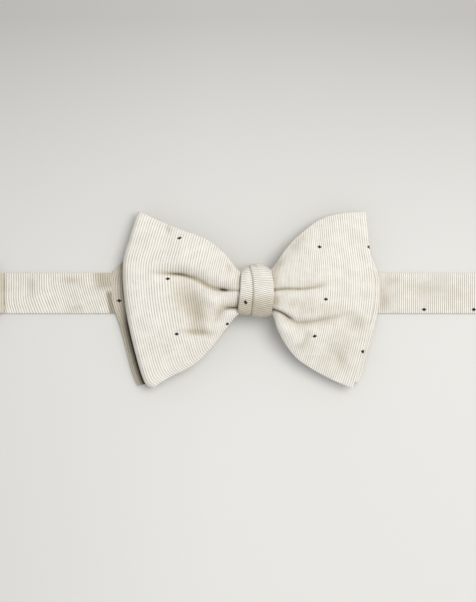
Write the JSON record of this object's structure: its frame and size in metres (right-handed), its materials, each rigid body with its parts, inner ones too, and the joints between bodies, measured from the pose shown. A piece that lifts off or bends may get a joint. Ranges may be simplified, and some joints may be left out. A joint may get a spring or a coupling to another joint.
{
  "type": "bow tie",
  "caption": "Self-tie butterfly bow tie, tied by hand and laid flat, with a lined cloth neckband, sliding adjuster, hook and eye.",
  "frame": {"origin": "on the table, at the back of the knot, under the middle of the knot", "axes": "+X along the neckband towards the eye end, +Y across the neckband towards the bow's upper edge, +Z from the table out through the front of the knot"},
  "size_m": [0.4358, 0.0833, 0.0182],
  "materials": {
    "silk_face": "satin",
    "silk_backing": "satin",
    "interlining": "matte",
    "thread": "satin",
    "adjuster_metal": "satin",
    "hook_metal": "satin",
    "eye_metal": "satin"
  },
  "bodies": {
    "tie": {"left_band_face": "silk_face", "left_band_interlining": "interlining", "left_band_backing": "silk_backing", "right_band_face": "silk_face", "right_band_interlining": "interlining", "right_band_backing": "silk_backing", "rear_tip_face": "silk_face", "rear_tip_interlining": "interlining", "rear_tip_backing": "silk_backing", "rear_loop_face": "silk_face", "rear_loop_interlining": "interlining", "rear_loop_backing": "silk_backing", "front_loop_face": "silk_face", "front_loop_interlining": "interlining", "front_loop_backing": "silk_backing", "front_tip_face": "silk_face", "front_tip_interlining": "interlining", "front_tip_backing": "silk_backing", "knot_wrap_face": "silk_face", "knot_wrap_interlining": "interlining", "knot_wrap_backing": "silk_backing", "strap_upper_run": "silk_face", "eye_end_fold": "silk_face", "eye_bar_tack": "thread"},
    "adjuster": {"adjuster_frame": "adjuster_metal", "strap_over_adjuster": "silk_face", "strap_loop": "silk_face", "strap_lower_run": "silk_face"},
    "strap_end": {"strap_end_fold": "silk_face", "hook_bar_tack": "thread"},
    "hook": {"hook": "hook_metal"},
    "eye": {"eye": "eye_metal"}
  },
  "joints": [
    {"name": "adjuster_slide", "type": "slide", "parent": "tie", "child": "adjuster", "axis": [1, 0, 0], "range_m": [-0.056, 0.044], "deforming": ["strap_lower_run"]},
    {"name": "hook_end_slide", "type": "slide", "parent": "tie", "child": "strap_end", "axis": [1, 0, 0], "range_m": [-0.028, 0.022], "deforming": ["strap_upper_run"]},
    {"name": "hook_swing", "type": "hinge", "parent": "strap_end", "child": "hook", "pos_m": [-0.2165, -0.001, 0.0018], "axis": [0, 1, 0], "range_deg": [-80, 95]},
    {"name": "eye_swing", "type": "hinge", "parent": "tie", "child": "eye", "pos_m": [0.19, -0.001, 0.0018], "axis": [0, -1, 0], "range_deg": [-80, 95]}
  ],
  "couplings": [
    {"joint": "hook_end_slide", "follows": "adjuster_slide", "ratio": 0.5}
  ]
}
